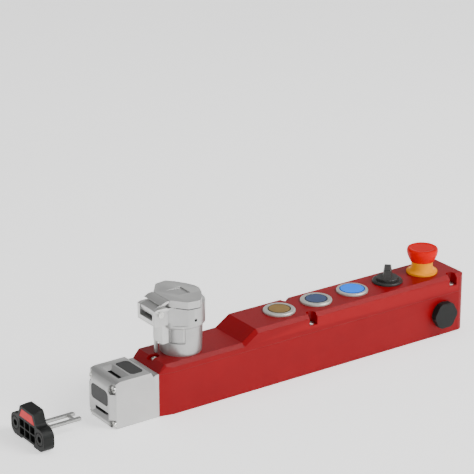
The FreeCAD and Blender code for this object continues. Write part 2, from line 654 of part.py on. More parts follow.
def lock_pin():
    tip = NOSE + " + pin_tip"
    shoulder = FRONT + " + pin_shoulder"
    end = shoulder + " + plunger_length"
    pin = turned("lock_pin", [
        (tip, "0"), (tip, "pin_radius - 0.5"), (tip + " + 0.5", "pin_radius"), (shoulder, "pin_radius"),
        (shoulder, "plunger_radius"), (end, "plunger_radius"), (end, "tail_radius"),
        (end + " + tail_length", "tail_radius"), (end + " + tail_length", "0")],
        z="axis_height", upright_axis=False)
    part(pin, "lock_pin")
    bore = "pin_radius + pin_clearance"
    bush = turned("guide_bush", [
        (FRONT, bore), (FRONT + " + front_wall", bore), (FRONT + " + front_wall", "bush_radius"),
        (FRONT, "bush_radius")], z="axis_height", upright_axis=False)
    part(bush, "guide_bush")


def pin_spring():
    """A coil spring round the pin, at its length with the pin thrown."""
    start = FRONT + " + front_wall + spring_gap + spring_wire / 2"
    room = "(pin_shoulder - pin_stroke - front_wall - 2 * spring_gap - spring_wire)"
    mean = "(pin_radius + spring_room + spring_wire / 2)"
    helix = place(DOC.addObject("Part::Helix", "Helix"), start, "0", "axis_height", AIM["X"])
    tie(helix, "Pitch", room + " / spring_coils")
    tie(helix, "Height", room)
    tie(helix, "Radius", mean)
    wire = DOC.addObject("Part::Circle", "Wire")
    tie(wire, "Radius", "spring_wire / 2")
    place(wire, start, "0", "axis_height - " + mean, FreeCAD.Rotation(V(1, 0, 0), 90))
    DOC.recompute()
    sweep = DOC.addObject("Part::Sweep", "Spring")
    sweep.Sections = [wire]
    sweep.Spine = (helix, ["Edge1"])
    sweep.Solid = True
    sweep.Frenet = True
    return part(sweep, "pin_spring")


def solenoid():
    start = FRONT + " + solenoid_start"
    coil_start = start + " + solenoid_plate + solenoid_gap"
    back = coil_start + " + coil_length + solenoid_gap"
    part(turned("solenoid_coil", [
        (coil_start, "coil_bore"), (coil_start + " + coil_length", "coil_bore"),
        (coil_start + " + coil_length", "coil_radius"),
        (coil_start + " + coil_length - 2", "coil_radius"), (coil_start + " + coil_length - 2", "coil_radius - 1"),
        (coil_start + " + 2", "coil_radius - 1"), (coil_start + " + 2", "coil_radius"),
        (coil_start, "coil_radius")], z="axis_height", upright_axis=False), "solenoid_coil")
    half = "solenoid_half_width"
    plates = [box(start, start + " + solenoid_plate", "-" + half, half, "housing_floor", "solenoid_top"),
              box(back, back + " + solenoid_plate", "-" + half, half, "housing_floor", "solenoid_top"),
              box(start, back + " + solenoid_plate", "-" + half, half, "housing_floor",
                  "housing_floor + solenoid_plate")]
    bore = cylinder("plunger_radius + coil_play", "solenoid_plate + 2", start + " - 1", "0",
                    "axis_height", "X")
    tail = cylinder("tail_radius + coil_play", "solenoid_plate + 2", back + " - 1", "0", "axis_height", "X")
    part(cut(fuse(plates), [bore, tail]), "solenoid_frame")


def inner_blocks():
    start = FRONT + " + pin_shoulder + plunger_length + tail_length + switch_block_gap"
    part(box(start, start + " + switch_block_length", "-switch_block_width / 2", "switch_block_width / 2",
             "housing_floor", "housing_floor + switch_block_height"), "switch_block")
    board = FRONT + " + board_start"
    low = "housing_floor + board_post"
    part(box(board, board + " + board_length", "-board_width / 2", "board_width / 2", low, BOARD_TOP), "circuit_board")
    part(box(board + " + 2", board + " + 2 + terminal_length", "-terminal_width / 2",
             "terminal_width / 2", BOARD_TOP, BOARD_TOP + " + terminal_height"), "terminal_block")


def operator_fittings():
    """The nuts that clamp the five operators and the contact blocks below them."""
    under = HIGH_TOP + " - lid_wall - nut_play"
    nuts, blocks = [], []
    for index in range(5):
        x = operator_place(index)
        ring = cylinder("operator_nut_radius", "operator_nut_height", x, "0", under + " - operator_nut_height")
        bore = cylinder("barrel_radius + nut_play", "operator_nut_height + 2", x, "0",
                        under + " - operator_nut_height - 1")
        nuts.append(cut(ring, [bore]))
        top = HIGH_TOP + " - barrel_depth"
        blocks.append(box(x + " - contact_length / 2", x + " + contact_length / 2",
                          "-contact_width / 2", "contact_width / 2", BOARD_TOP + " + contact_gap", top))
    part(group(nuts), "operator_nuts")
    part(group(blocks), "contact_blocks")


def push_button(index, lens, bezel_label, lens_label):
    x = operator_place(index)
    rim = HIGH_TOP + " + bezel_height"
    seat = rim + " - lens_thickness - button_travel - 0.1"
    bore = "button_stem + stem_clearance"
    foot = HIGH_TOP + " - barrel_depth"
    part(turned(bezel_label, [
        (bore, foot), ("barrel_radius", foot), ("barrel_radius", HIGH_TOP),
        ("bezel_radius", HIGH_TOP), ("bezel_radius", rim + " - bezel_edge"),
        ("bezel_radius - bezel_edge", rim), (lens + " + lens_gap", rim),
        (lens + " + lens_gap", seat), (bore, seat)], x=x), bezel_label)
    top = rim + " + 0.1"
    part(turned(lens_label, [
        ("0", foot + " + button_travel + 0.3"), ("button_stem", foot + " + button_travel + 0.3"),
        ("button_stem", top + " - lens_thickness"), (lens, top + " - lens_thickness"),
        (lens, top + " - 0.2"), (lens + " - 0.2", top), ("0", top)], x=x), lens_label)


def selector():
    x = operator_place(3)
    foot = HIGH_TOP + " - barrel_depth"
    bore = "shaft_radius + stem_clearance"
    base = HIGH_TOP + " + selector_base_height"
    part(turned("selector_bezel", [
        (bore, foot), ("barrel_radius", foot), ("barrel_radius", HIGH_TOP),
        ("selector_base_radius", HIGH_TOP), ("selector_base_radius", base + " - 1.4"),
        ("selector_base_radius - 0.5", base + " - 0.6"), ("selector_base_radius - 1.4", base),
        (bore, base)], x=x), "selector_bezel")
    knob = turned("selector_knob", [
        ("0", foot + " + 1"), ("shaft_radius", foot + " + 1"), ("shaft_radius", base + " + 0.1"),
        ("knob_disc_radius", base + " + 0.1"), ("knob_disc_radius", base + " + knob_disc_height - 0.5"),
        ("knob_disc_radius - 0.5", base + " + knob_disc_height"), ("0", base + " + knob_disc_height")],
        x=x, rotation=FreeCAD.Rotation(V(0, 0, 1), number("knob_angle")))
    low = base + " + knob_disc_height"
    high = low + " + knob_height"
    grip = pad(knob, rectangle(sketch_on(knob, "XY_Plane", low), "-knob_length / 2", "knob_length / 2",
                               "-knob_width / 2", "knob_width / 2"), "knob_height")
    tie(grip, "TaperAngle", "-knob_lean")
    DOC.recompute()
    level = number(high)
    dress(knob, "Fillet", "knob_edge", lambda p, q: near(p.z, level) and near(q.z, level))
    part(knob, "selector_knob")


def emergency_stop():
    x = operator_place(4)
    foot = HIGH_TOP + " - barrel_depth"
    bore = "shaft_radius + stem_clearance"
    waist = HIGH_TOP + " + collar_waist_height"
    step = "(collar_radius - collar_waist)"
    collar = [(bore, foot), ("barrel_radius", foot), ("barrel_radius", HIGH_TOP),
              ("collar_radius", HIGH_TOP), ("collar_radius", HIGH_TOP + " + collar_foot")]
    for share in range(1, 7):
        angle = share * 15
        collar.append(("collar_waist + %s * (1 - sin(%d))" % (step, angle),
                       "%s - (collar_waist_height - collar_foot) * cos(%d)" % (waist, angle)))
    collar += [("collar_waist", HIGH_TOP + " + collar_height"), (bore, HIGH_TOP + " + collar_height")]
    part(turned("estop_collar", collar, x=x), "estop_collar")
    roof = HIGH_TOP + " + collar_height + estop_travel + 0.5"
    skirt = HIGH_TOP + " + mushroom_skirt"
    brim = HIGH_TOP + " + mushroom_flare"
    head = [("shaft_radius + running_clearance", roof), ("mushroom_bore", roof), ("mushroom_bore", skirt),
            ("mushroom_skirt_radius", skirt)]
    for out, rise in ((0.2, 0.15), (0.46, 0.33), (0.76, 0.57), (0.94, 0.81)):
        head.append(("mushroom_skirt_radius + %s * (mushroom_radius - mushroom_skirt_radius)" % out,
                     "%s + %s * (mushroom_flare - mushroom_skirt)" % (skirt, rise)))
    top = brim + " + mushroom_dome"
    head += [("mushroom_radius", brim), ("mushroom_radius - 0.1", brim + " + 0.5 * mushroom_dome"),
             ("mushroom_radius - 0.6", brim + " + 0.85 * mushroom_dome"), ("mushroom_radius - 1.5", top),
             ("mushroom_radius - 2.4", top), ("mushroom_radius - 4", top + " - mushroom_dish"),
             ("0", top + " - mushroom_dish"), ("0", roof + " + estop_socket"),
             ("shaft_radius + running_clearance", roof + " + estop_socket")]
    part(turned("estop_head", head, x=x), "estop_head")
    part(cylinder("shaft_radius", "%s + estop_socket - 0.1 - (%s + estop_travel + 0.3)" % (roof, foot),
                  x, "0", foot + " + estop_travel + 0.3"), "estop_stem")


def lock():
    """A cylinder lock on the low deck: body with hinge lugs, barrel, nut and cap."""
    body = turned("lock_shell", [
        ("0", LID_BASE), ("spigot_radius", LID_BASE), ("spigot_radius", LOW_TOP),
        ("lock_foot_radius", LOW_TOP), ("lock_neck_radius", LOCK_FLOOR + " - 0.8"),
        ("lock_collar_radius - 0.8", LOCK_FLOOR), ("lock_collar_radius", LOCK_FLOOR + " + 0.8"),
        ("lock_collar_radius", LOCK_TOP + " - 0.8"), ("lock_collar_radius - 0.8", LOCK_TOP),
        ("lock_bore", LOCK_TOP), ("lock_bore", LOCK_FLOOR), ("0", LOCK_FLOOR)], x=LOCK)
    pad(body, rectangle(sketch_on(body, "XY_Plane", LOW_TOP + " + rib_start"), "-rib_reach",
                        "-lock_bore", "-rib_half_width", "rib_half_width"), "rib_height")
    reach = "(hinge_reach + lug_front)"
    lugs = sketch_on(body, "XZ_Plane")
    root = "-lock_bore"
    polygon(lugs, [(root, LOCK_TOP + " - lug_depth"), (root, LOCK_TOP + " - 0.1"),
                   ("-lock_collar_radius", LOCK_TOP + " - 0.1"),
                   ("-lock_collar_radius - 1.5", LOCK_TOP + " + lug_rise"),
                   ("-%s + 3" % reach, LOCK_TOP + " + lug_rise"), ("-" + reach, LOCK_TOP),
                   ("-" + reach, LOCK_TOP + " - lug_depth + 1"),
                   ("-%s + 1" % reach, LOCK_TOP + " - lug_depth")])
    pad(body, lugs, "2 * lug_outer", both=True)
    pocket(body, rectangle(sketch_on(body, "XY_Plane", LOCK_TOP + " + lug_rise + 1"),
                           "-%s - 1" % reach, "-lock_collar_radius - 0.4", "-lug_inner", "lug_inner"),
           "lug_depth + lug_rise + 1 - lug_floor")
    pocket(body, circle(sketch_on(body, "XZ_Plane"), "-hinge_reach", LOCK_TOP + " - hinge_drop",
                        "hinge_pin_radius + thread_clearance"), "2 * lug_outer + 2", both=True)
    part(cut(body, lock_recesses()), "lock_body")

    part(turned("lock_nut", [
        ("spigot_radius + nut_play", LOW_TOP + " - lid_wall - nut_play - lock_nut_height"),
        ("lock_nut_radius", LOW_TOP + " - lid_wall - nut_play - lock_nut_height"),
        ("lock_nut_radius", LOW_TOP + " - lid_wall - nut_play"),
        ("spigot_radius + nut_play", LOW_TOP + " - lid_wall - nut_play")], x=LOCK), "lock_nut")

    top = LOCK_FLOOR + " + barrel_lock_height + 0.1"
    barrel = turned("key_barrel", [
        ("0", LOCK_FLOOR + " + 0.1"), ("lock_bore - 0.1", LOCK_FLOOR + " + 0.1"),
        ("lock_bore - 0.1", LOCK_FLOOR + " + 3"), ("barrel_lock_radius", LOCK_FLOOR + " + 3"),
        ("barrel_lock_radius", top + " - 1"), ("barrel_lock_radius - 1", top), ("0", top)], x=LOCK)
    pocket(barrel, rectangle(sketch_on(barrel, "XY_Plane", top), "-keyway_length / 2",
                             "keyway_length / 2", "-keyway_width / 2", "keyway_width / 2"), "keyway_depth")
    part(barrel, "key_barrel")

    head = "-lug_outer - 1.8"
    part(fuse([cylinder("hinge_pin_radius", "2 * lug_outer + 1.5", LOCK + " - hinge_reach",
                        "-lug_outer - 1", LOCK_TOP + " - hinge_drop", "Y"),
               cylinder("hinge_head_radius", "1.7", LOCK + " - hinge_reach", head,
                        LOCK_TOP + " - hinge_drop", "Y")]), "hinge_pin")
    cap()


def lock_recesses():
    """Sunk panels and flats on both sides of the lock, and a blind hole near its top."""
    tools = []
    core = "(lock_neck_radius - panel_depth)"
    for start in ("panel_from", "360 - panel_from - panel_sweep"):
        wedge = place(DOC.addObject("Part::Cylinder", "Wedge"), LOCK, "0", LOW_TOP + " + panel_start",
                      FreeCAD.Rotation(V(0, 0, 1), number(start)))
        tie(wedge, "Radius", "lock_collar_radius + 1")
        tie(wedge, "Height", "panel_height")
        tie(wedge, "Angle", "panel_sweep")
        tools.append(cut(wedge, [cylinder(core, "panel_height + 2", LOCK, "0",
                                          LOW_TOP + " + panel_start - 1")]))
    for sign in (-1, 1):
        angle = "(%d * flat_angle)" % sign
        turn = {"angle": angle, "lock": LOCK}
        flat = place(DOC.addObject("Part::Box", "Flat"),
                     "%(lock)s + flat_distance * cos(%(angle)s) + flat_width / 2 * sin(%(angle)s)" % turn,
                     "flat_distance * sin(%(angle)s) - flat_width / 2 * cos(%(angle)s)" % turn,
                     LOCK_FLOOR + " + flat_start", FreeCAD.Rotation(V(0, 0, 1), number(angle)))
        tie(flat, "Length", "flat_thickness")
        tie(flat, "Width", "flat_width")
        tie(flat, "Height", "flat_height")
        tools.append(flat)
    tools.append(cylinder("pip_radius", "pip_depth + 1", LOCK + " + pip_shift",
                          "-lock_collar_radius - 1", LOCK_FLOOR + " + pip_rise", "Y"))
    return tools


def cap():
    """The hinged cover: a wide plate with cut corners, a thumb ramp and a hinge knuckle."""
    base = LOCK_TOP + " + cap_gap"
    rim = base + " + cap_height"
    body = new_body(x=LOCK)
    side = [("-cap_hinge_edge", "cap_hinge_half"), ("-cap_wing_back", "cap_wing_half_back"),
            ("cap_wing_front", "cap_wing_half"), ("cap_taper", "cap_taper_half"),
            ("cap_nose", "cap_nose_half"), ("cap_tip", "cap_tip_half")]
    outline = side + [(x, "-" + y) for x, y in reversed(side)]
    pad(body, polygon(sketch_on(body, "XY_Plane", base), outline), "cap_height")
    dress(body, "Fillet", "cap_corner", lambda p, q: upright(p, q))
    pocket(body, polygon(sketch_on(body, "XZ_Plane"), [
        ("-recess_back", rim), ("recess_front", rim + " - recess_depth"), ("recess_front", rim + " + 1"),
        ("-recess_back", rim + " + 1")]), "2 * recess_half", both=True)
    arm = sketch_on(body, "XZ_Plane")
    outer = "-hinge_reach - knuckle_radius"
    axis = LOCK_TOP + " - hinge_drop"
    polygon(arm, [("-cap_hinge_edge + 2", base), ("-cap_hinge_edge + 2", rim + " - 1"),
                  ("-cap_hinge_edge - 3.5", rim + " - 2.4"), (outer + " - 1", base + " - 0.5"),
                  (outer + " - 1", base + " - 3"), (outer + " + 0.6", axis), ("-hinge_reach", axis),
                  ("-hinge_reach + knuckle_radius", base)])
    pad(body, arm, "2 * (lug_inner - knuckle_play)", both=True)
    pad(body, circle(sketch_on(body, "XZ_Plane"), "-hinge_reach", axis, "knuckle_radius"),
        "2 * (lug_inner - knuckle_play)", both=True)
    pocket(body, circle(sketch_on(body, "XZ_Plane"), "-hinge_reach", axis,
                        "hinge_pin_radius + running_clearance"), "2 * lug_outer", both=True)
    part(body, "lock_cap")


def conduit_plugs():
    seals = []
    for side, sign in (("near", -1), ("far", 1)):
        outward = FreeCAD.Rotation(V(1, 0, 0), 90 if sign < 0 else -90)
        wall = "%d * %s" % (sign, SIDE)

        def turned_out(label, radius, start, end):
            solid = place(DOC.addObject("Part::Cylinder", label), CONDUIT,
                          "%s + %d * (%s)" % (wall, sign, start), "conduit_height", outward)
            tie(solid, "Radius", radius)
            tie(solid, "Height", "%s - (%s)" % (end, start))
            return solid

        seal = cut(turned_out("Seal", "plug_seal_radius", "0", "plug_seal_height"),
                   [turned_out("SealBore", "conduit_radius", "-1", "plug_seal_height + 1")])
        seals.append(seal)
        brim = "plug_seal_height + plug_flange_height"
        hexagon = place(DOC.addObject("Part::Prism", "Hexagon"), CONDUIT,
                        "%s + %d * (%s - 0.2)" % (wall, sign, brim), "conduit_height", outward)
        hexagon.Polygon = 6
        tie(hexagon, "Circumradius", "plug_across_flats / 2 / cos(30)")
        tie(hexagon, "Height", "plug_hex_height + 0.2")
        turned_corners = DOC.addObject("Part::Common", "TurnedCorners")
        turned_corners.Base = hexagon
        turned_corners.Tool = turned_out("Blank", "plug_corner_radius", "0", brim + " + plug_hex_height + 1")
        part(fuse([turned_out("Thread", "conduit_radius - plug_play", "-housing_wall", "plug_seal_height"),
                   turned_out("Brim", "plug_flange_radius", "plug_seal_height", brim),
                   turned_corners]),
             "conduit_plug_" + side)
    part(group(seals), "conduit_seals")


def actuator():
    """The separate actuator: a moulded carrier with two screw eyes and a gated tongue."""
    body = new_body(x=ACTUATOR)
    pad(body, rectangle(sketch_on(body, "YZ_Plane"), "-actuator_half_width", "actuator_half_width",
                        "actuator_bottom", "actuator_shoulder"), "actuator_thickness", back=True)
    dress(body, "Fillet", "actuator_round", lambda p, q: along(p, q))
    pad(body, polygon(sketch_on(body, "YZ_Plane"), [
        ("-crown_half_foot", "actuator_shoulder - 2"), ("crown_half_foot", "actuator_shoulder - 2"),
        ("crown_half_foot", "actuator_shoulder - 0.5"), ("crown_half_top", "crown_back"),
        ("-crown_half_top", "crown_back"), ("-crown_half_foot", "actuator_shoulder - 0.5")]),
        "actuator_thickness", back=True)
    crest, shoulder = number("crown_back"), number("actuator_shoulder")
    dress(body, "Fillet", "crown_round", lambda p, q: along(p, q) and near(p.z, crest))
    dress(body, "Fillet", "crown_blend", lambda p, q: along(p, q) and near(p.z, shoulder)
          and abs(p.y) < number("crown_half_foot") + 0.5)
    pocket(body, polygon(sketch_on(body, "XZ_Plane"), [
        ("-actuator_thickness - 1", "crown_front"), ("-actuator_thickness", "crown_front"),
        ("0", "crown_back"), ("0", "crown_back + 2"), ("-actuator_thickness - 1", "crown_back + 2")]),
        "4 * crown_half_foot", both=True)
    front = "-actuator_thickness"
    pocket(body, rectangle(sketch_on(body, "YZ_Plane"), "-actuator_recess_half", "actuator_recess_half",
                           "-1", "actuator_bottom + actuator_recess"), "3 * actuator_thickness", both=True)
    badge = sketch_on(body, "YZ_Plane", front)
    polygon(badge, [("-badge_half_foot", "badge_low"), ("badge_half_foot", "badge_low"),
                    ("badge_half_top", "badge_top"), ("-badge_half_top", "badge_top")])
    pocket(body, badge, "2 * insert_depth", both=True)
    cells = sketch_on(body, "YZ_Plane", front)
    for column in (-1, 0, 1):
        for row in (-0.5, 0.5):
            middle = "%s * cell_pitch_wide" % column
            level = "actuator_hole_height + %s * cell_pitch_high" % row
            rectangle(cells, middle + " - cell_width / 2", middle + " + cell_width / 2",
                      level + " - cell_height / 2", level + " + cell_height / 2")
    pocket(body, cells, "2 * cell_depth", both=True)
    eyes = sketch_on(body, "YZ_Plane", front)
    holes = sketch_on(body, "YZ_Plane")
    for sign in ("-", ""):
        circle(eyes, sign + "actuator_hole_line", "actuator_hole_height", "ring_radius")
        circle(eyes, sign + "actuator_hole_line", "actuator_hole_height", "ring_radius + ring_width")
        circle(holes, sign + "actuator_hole_line", "actuator_hole_height", "actuator_hole_radius")
    pocket(body, eyes, "2 * ring_recess", both=True)
    pocket(body, holes, "3 * actuator_thickness", both=True)
    half = "(tongue_half_width + tongue_play)"
    rise = "(tongue_thickness / 2 + tongue_play)"
    pocket(body, rectangle(sketch_on(body, "YZ_Plane"), "-" + half, half, SLOT + " - " + rise,
                           SLOT + " + " + rise), "2 * (tongue_root + tongue_play)", both=True)
    part(body, "actuator_body")

    gap = "insert_gap"
    plate = new_body(x=ACTUATOR + " - actuator_thickness")
    pad(plate, polygon(sketch_on(plate, "YZ_Plane"), [
        ("-badge_half_foot + 2 * " + gap, "badge_low + " + gap),
        ("badge_half_foot - 2 * " + gap, "badge_low + " + gap),
        ("badge_half_top - " + gap, "badge_top - " + gap),
        ("-badge_half_top + " + gap, "badge_top - " + gap)]), "insert_depth - insert_gap")
    part(plate, "actuator_insert")
    tongue()


def tongue():
    body = new_body(x=ACTUATOR)
    half, inner = "tongue_half_width", "(tongue_half_width - tongue_bar)"
    pad(body, rectangle(sketch_on(body, "XY_Plane", SLOT), "-tongue_root", "tongue_length",
                        "-" + half, half), "tongue_thickness", both=True)
    far = number("tongue_length")
    dress(body, "Chamfer", "tongue_tip_cut", lambda p, q: upright(p, q) and near(p.x, far))
    windows = sketch_on(body, "XY_Plane", SLOT)
    end = "window_start + window_length"
    rectangle(windows, "window_start", end, "-" + inner, inner)
    rectangle(windows, end + " + crossbar", "tongue_length + 1", "-" + inner, inner)
    pocket(body, windows, "2 * tongue_thickness", both=True)
    part(body, "tongue")


def write_parts():
    for thing in DOC.Objects:
        if "Invalid" in thing.State or "Error" in thing.State:
            raise RuntimeError("%s (%s) failed" % (thing.Name, thing.Label))
    for thing in PARTS:
        if thing.Shape.isNull() or not thing.Shape.isValid() or not thing.Shape.Solids:
            raise RuntimeError("%s has no valid solid" % thing.Label)
    os.makedirs("parts", exist_ok=True)
    for thing in PARTS:
        thing.Shape.exportStep("parts/%s.step" % thing.Label)
        size = thing.Shape.BoundBox
        print("%-18s %2d solids %10.1f mm3  x %8.2f %8.2f  y %7.2f %7.2f  z %6.2f %6.2f" % (
            thing.Label, len(thing.Shape.Solids), thing.Shape.Volume, size.XMin, size.XMax,
            size.YMin, size.YMax, size.ZMin, size.ZMax))


housing()
lid_gasket()
lid()
lid_screws()
head_block()
inserts()
head_screws()
cam()
cam_carrier()
lock_pin()
pin_spring()
solenoid()
inner_blocks()
operator_fittings()
push_button(0, "lens_radius", "amber_bezel", "amber_button")
push_button(1, "lens_radius", "slate_bezel", "slate_button")
push_button(2, "large_lens_radius", "blue_bezel", "blue_button")
emergency_stop()
selector()
lock()
conduit_plugs()
actuator()
DOC.recompute()
write_parts()
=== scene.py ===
import math

import bmesh
import bpy
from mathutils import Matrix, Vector


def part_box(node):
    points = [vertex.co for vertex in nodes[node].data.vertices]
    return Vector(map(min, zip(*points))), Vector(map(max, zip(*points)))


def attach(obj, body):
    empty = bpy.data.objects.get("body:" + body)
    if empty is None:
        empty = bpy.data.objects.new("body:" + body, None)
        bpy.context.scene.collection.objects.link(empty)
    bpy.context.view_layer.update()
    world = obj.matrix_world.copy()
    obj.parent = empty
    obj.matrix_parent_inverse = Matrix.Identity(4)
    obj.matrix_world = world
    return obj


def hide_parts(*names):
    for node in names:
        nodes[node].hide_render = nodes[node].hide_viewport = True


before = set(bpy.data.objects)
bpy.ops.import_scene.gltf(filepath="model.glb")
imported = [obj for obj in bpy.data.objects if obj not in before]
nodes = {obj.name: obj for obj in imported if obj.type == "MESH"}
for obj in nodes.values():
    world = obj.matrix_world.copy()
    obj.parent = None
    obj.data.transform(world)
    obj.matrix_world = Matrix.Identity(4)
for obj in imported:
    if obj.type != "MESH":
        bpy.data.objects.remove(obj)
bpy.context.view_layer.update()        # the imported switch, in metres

mm = 0.001


def hexColour(code):     # sRGB hex to linear, with alpha 1
    values = [int(code[i:i + 2], 16) / 255 for i in (1, 3, 5)]
    return [v / 12.92 if v <= 0.04045 else ((v + 0.055) / 1.055) ** 2.4 for v in values] + [1]


def addNode(tree, kind, settings=None, inputs=None):     # a node with its settings, values and links
    node = tree.nodes.new(kind)
    for name, value in (settings or {}).items():
        setattr(node, name, value)
    for name, value in (inputs or {}).items():
        if isinstance(value, bpy.types.NodeSocket):
            tree.links.new(value, node.inputs[name])
        else:
            node.inputs[name].default_value = value
    return node


def perMetre(sizeMm):    # a pattern of this size in mm, as a texture scale
    return 1 / (sizeMm * mm)


# camera, floor and lights
camera = {"place": (-1.02133, -1.36052, 0.76920), "tiltDeg": 69.05, "headingDeg": -34.90,
          "lens": 159.92, "sensorMm": 36, "clipEnd": 50}
cameraData = bpy.data.cameras.new("camera")
cameraData.lens = camera["lens"]
cameraData.sensor_width = camera["sensorMm"]
cameraData.clip_end = camera["clipEnd"]
cameraObject = bpy.data.objects.new("camera", cameraData)
cameraObject.location = camera["place"]
cameraObject.rotation_euler = (math.radians(camera["tiltDeg"]), 0, math.radians(camera["headingDeg"]))
bpy.context.collection.objects.link(cameraObject)
bpy.context.scene.camera = cameraObject

studio = {
    "horizon": "#FFFFFF", "horizonStrength": 0.9,    # pale walls round the table
    "ceiling": "#FFFFFF", "ceilingStrength": 0.1,    # and a dim ceiling, so top faces stay rich in colour
    "ceilingStart": 0.4, "ceilingFull": 0.62,        # as the rise of a line of sight, 1 straight up
    "floor": "#F8F8F7", "floorShade": "#F6F6F5", "floorGlow": 0.85, "floorHalf": 6,
    # name, place, aim, size across, watts, colour
    "lamps": [
        ("keyLamp", (1.0, -1.3, 1.7), (0, 0, 0.03), 1.5, 56, "#FFFFFF"),
        ("fillLamp", (-1.3, -2.2, 1.0), (0, 0, 0.03), 1.6, 22, "#FFFFFF"),
        ("topLamp", (-0.2, 0.5, 2.4), (0, 0, 0), 1.8, 18, "#FFFFFF"),
    ],
}
world = bpy.data.worlds.new("studioWorld")
world.use_nodes = True
worldTree = world.node_tree
worldTree.nodes.clear()
skyWay = addNode(worldTree, "ShaderNodeTexCoord").outputs["Generated"]
skyRise = addNode(worldTree, "ShaderNodeSeparateXYZ", None, {0: skyWay}).outputs["Z"]
skyFade = addNode(worldTree, "ShaderNodeMapRange", {"interpolation_type": "SMOOTHSTEP"},
                  {"Value": skyRise, "From Min": studio["ceilingStart"],
                   "From Max": studio["ceilingFull"]}).outputs[0]
wallShader = addNode(worldTree, "ShaderNodeBackground", None,
                     {"Color": hexColour(studio["horizon"]), "Strength": studio["horizonStrength"]})
ceilingShader = addNode(worldTree, "ShaderNodeBackground", None,
                        {"Color": hexColour(studio["ceiling"]), "Strength": studio["ceilingStrength"]})
skyShader = addNode(worldTree, "ShaderNodeMixShader", None,
                    {0: skyFade, 1: wallShader.outputs[0], 2: ceilingShader.outputs[0]})
addNode(worldTree, "ShaderNodeOutputWorld", None, {"Surface": skyShader.outputs[0]})
bpy.context.scene.world = world

for name, place, aim, size, watts, colour in studio["lamps"]:
    lampData = bpy.data.lights.new(name, "AREA")
    lampData.shape = "DISK"
    lampData.size = size
    lampData.energy = watts
    lampData.color = hexColour(colour)[:3]
    lamp = bpy.data.objects.new(name, lampData)
    lamp.location = place
    lamp.rotation_euler = (Vector(aim) - Vector(place)).to_track_quat("-Z", "Y").to_euler()
    bpy.context.collection.objects.link(lamp)

half = studio["floorHalf"]
floorMesh = bpy.data.meshes.new("floor")
floorMesh.from_pydata([(-half, -half, 0), (half, -half, 0), (half, half, 0), (-half, half, 0)],
                      [], [(0, 1, 2, 3)])
floor = bpy.data.objects.new("floor", floorMesh)
bpy.context.collection.objects.link(floor)
print("camera, floor and lights are set")


# Finishes, each named for what the real surface is. A look holds colour and shade for its patches,
# patchMm, roughness, roughSpread, grainMm and grainDepthMm. It may also have edge, the colour of rubbed
# edges, stretch, which scales the pattern along each axis, and shader, values for the shader's sockets.
pattern = {"patchDetail": 5, "patchBreak": 0.6, "patchFrom": 0.3, "patchTo": 0.7,
           "wornFrom": 0.52, "wornTo": 0.6, "wornMost": 0.8,
           "grainDetail": 3, "grainBreak": 0.55, "grainFrom": 0.25, "grainTo": 0.75, "bump": 0.4}


def makeFinish(name, look):
    material = bpy.data.materials.new(name)
    material.use_nodes = True
    tree = material.node_tree
    tree.nodes.clear()
    where = addNode(tree, "ShaderNodeTexCoord").outputs["Object"]
    place = addNode(tree, "ShaderNodeMapping", None,
                    {"Vector": where, "Scale": look.get("stretch", (1, 1, 1))}).outputs[0]
    patches = addNode(tree, "ShaderNodeTexNoise", None,
                      {"Vector": place, "Scale": perMetre(look["patchMm"]),
                       "Detail": pattern["patchDetail"], "Roughness": pattern["patchBreak"]})
    spread = addNode(tree, "ShaderNodeMapRange", None,
                     {"Value": patches.outputs[0],
                      "From Min": pattern["patchFrom"], "From Max": pattern["patchTo"]})
    tint = addNode(tree, "ShaderNodeMix", {"data_type": "RGBA"},
                   {0: spread.outputs[0], 6: hexColour(look["colour"]),
                    7: hexColour(look["shade"])}).outputs[2]
    if "edge" in look:      # handled edges are rubbed a little lighter
        sharp = addNode(tree, "ShaderNodeNewGeometry").outputs["Pointiness"]
        worn = addNode(tree, "ShaderNodeMapRange", None,
                       {"Value": sharp, "From Min": pattern["wornFrom"], "From Max": pattern["wornTo"],
                        "To Max": pattern["wornMost"]}).outputs[0]
        tint = addNode(tree, "ShaderNodeMix", {"data_type": "RGBA"},
                       {0: worn, 6: tint, 7: hexColour(look["edge"])}).outputs[2]
    grain = addNode(tree, "ShaderNodeTexNoise", None,
                    {"Vector": place, "Scale": perMetre(look["grainMm"]),
                     "Detail": pattern["grainDetail"], "Roughness": pattern["grainBreak"]})
    rough = addNode(tree, "ShaderNodeMapRange", None,
                    {"Value": grain.outputs[0],
                     "From Min": pattern["grainFrom"], "From Max": pattern["grainTo"],
                     "To Min": look["roughness"] - look["roughSpread"],
                     "To Max": look["roughness"] + look["roughSpread"]})
    bump = addNode(tree, "ShaderNodeBump", None,
                   {"Height": grain.outputs[0], "Strength": pattern["bump"],
                    "Distance": look["grainDepthMm"] * mm})
    shader = addNode(tree, "ShaderNodeBsdfPrincipled", None,
                     {"Base Color": tint, "Roughness": rough.outputs[0],
                      "Normal": bump.outputs[0], **look["shader"]})
    addNode(tree, "ShaderNodeOutputMaterial", None, {"Surface": shader.outputs[0]})
    return material


